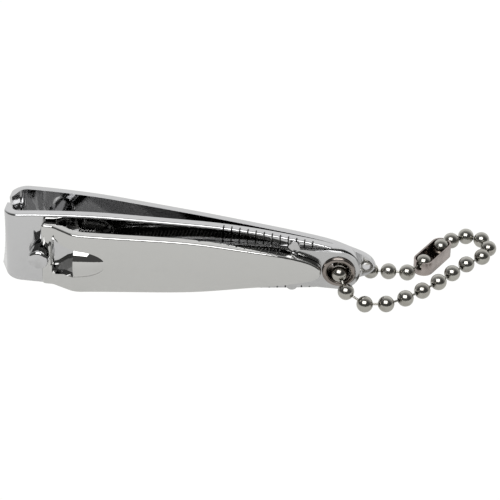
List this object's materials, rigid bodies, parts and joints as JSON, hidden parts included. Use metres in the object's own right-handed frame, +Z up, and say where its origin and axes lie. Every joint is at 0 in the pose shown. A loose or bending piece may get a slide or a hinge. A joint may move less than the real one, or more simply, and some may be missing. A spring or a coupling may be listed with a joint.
{
  "type": "nail clipper",
  "caption": "Folding lever nail clipper lying on its side, with a swing-out nail file and a bead chain through its eyelet.",
  "frame": {"origin": "on the table under the middle of the overall box of the clipper and its laid-out chain, which is the bottom face's centre", "axes": "+X along the clipper from the blades to the tail and the chain, +Y through the layers from the lever to the outer arm, +Z up from the table; the clipper stands on the long side edges of its arms"},
  "size_m": [0.0726, 0.0236, 0.0124],
  "materials": {
    "arm_plate": "bright nickel-chrome plate",
    "lever_plate": "bright nickel-chrome plate",
    "post_steel": "bright nickel-chrome plate",
    "file_steel": "plated, cut with fine file teeth on the long blade",
    "eyelet_nickel": "bright nickel plate",
    "chain_nickel": "nickel plate, a little worn",
    "clasp_nickel": "tarnished nickel plate with a warm tint"
  },
  "bodies": {
    "lower_arm": {"lower_arm": "arm_plate", "eyelet": "eyelet_nickel"},
    "upper_arm": {"upper_arm": "arm_plate"},
    "post": {"post": "post_steel"},
    "lever": {"lever": "lever_plate"},
    "nail_file": {"nail_file": "file_steel"},
    "chain_root": {"bead_01": "chain_nickel", "bead_02": "chain_nickel", "bead_03": "chain_nickel", "bead_04": "chain_nickel", "bead_05": "chain_nickel", "bead_06": "chain_nickel", "bead_18": "chain_nickel", "bead_19": "chain_nickel", "bead_20": "chain_nickel", "bead_21": "chain_nickel", "link_01": "chain_nickel", "link_02": "chain_nickel", "link_03": "chain_nickel", "link_04": "chain_nickel", "link_05": "chain_nickel", "link_17": "chain_nickel", "link_18": "chain_nickel", "link_19": "chain_nickel", "link_20": "chain_nickel"},
    "chain_mid": {"bead_07": "chain_nickel", "bead_08": "chain_nickel", "bead_09": "chain_nickel", "bead_15": "chain_nickel", "bead_16": "chain_nickel", "bead_17": "chain_nickel", "clasp": "clasp_nickel", "link_06": "chain_nickel", "link_07": "chain_nickel", "link_08": "chain_nickel", "link_15": "chain_nickel", "link_16": "chain_nickel"},
    "chain_end": {"bead_10": "chain_nickel", "bead_11": "chain_nickel", "bead_12": "chain_nickel", "bead_13": "chain_nickel", "bead_14": "chain_nickel", "link_09": "chain_nickel", "link_10": "chain_nickel", "link_11": "chain_nickel", "link_12": "chain_nickel", "link_13": "chain_nickel", "link_14": "chain_nickel"}
  },
  "joints": [
    {"name": "squeeze", "type": "hinge", "parent": "lower_arm", "child": "upper_arm", "pos_m": [0.01245, -0.00398, 0.0047], "axis": [-0.0419, 0, -0.9991], "range_deg": [0, 1.7], "stiffness_Nm_per_rad": 1.5},
    {"name": "post_swivel", "type": "hinge", "parent": "lower_arm", "child": "post", "pos_m": [-0.02952, -0.00398, 0.00646], "axis": [0, 1, 0], "range_deg": [0, 180]},
    {"name": "lever_flip", "type": "hinge", "parent": "post", "child": "lever", "pos_m": [-0.02849, -0.00867, 0.00641], "axis": [-0.0419, 0, -0.9991], "range_deg": [0, 150]},
    {"name": "file_swing", "type": "hinge", "parent": "lower_arm", "child": "nail_file", "pos_m": [0.01345, -0.00398, 0.00466], "axis": [0, 1, 0], "range_deg": [0, 150]},
    {"name": "chain_swing", "type": "hinge", "parent": "lower_arm", "child": "chain_root", "pos_m": [0.01345, -0.00398, 0.00466], "axis": [0, -1, 0], "range_deg": [-60, 110]},
    {"name": "chain_fold_1", "type": "hinge", "parent": "chain_root", "child": "chain_mid", "pos_m": [0.02402, -0.00398, 0.0012], "axis": [0, -1, 0], "range_deg": [-45, 45]},
    {"name": "chain_fold_2", "type": "hinge", "parent": "chain_mid", "child": "chain_end", "pos_m": [0.03051, 0, 0.0012], "axis": [0, -1, 0], "range_deg": [-45, 45]}
  ]
}
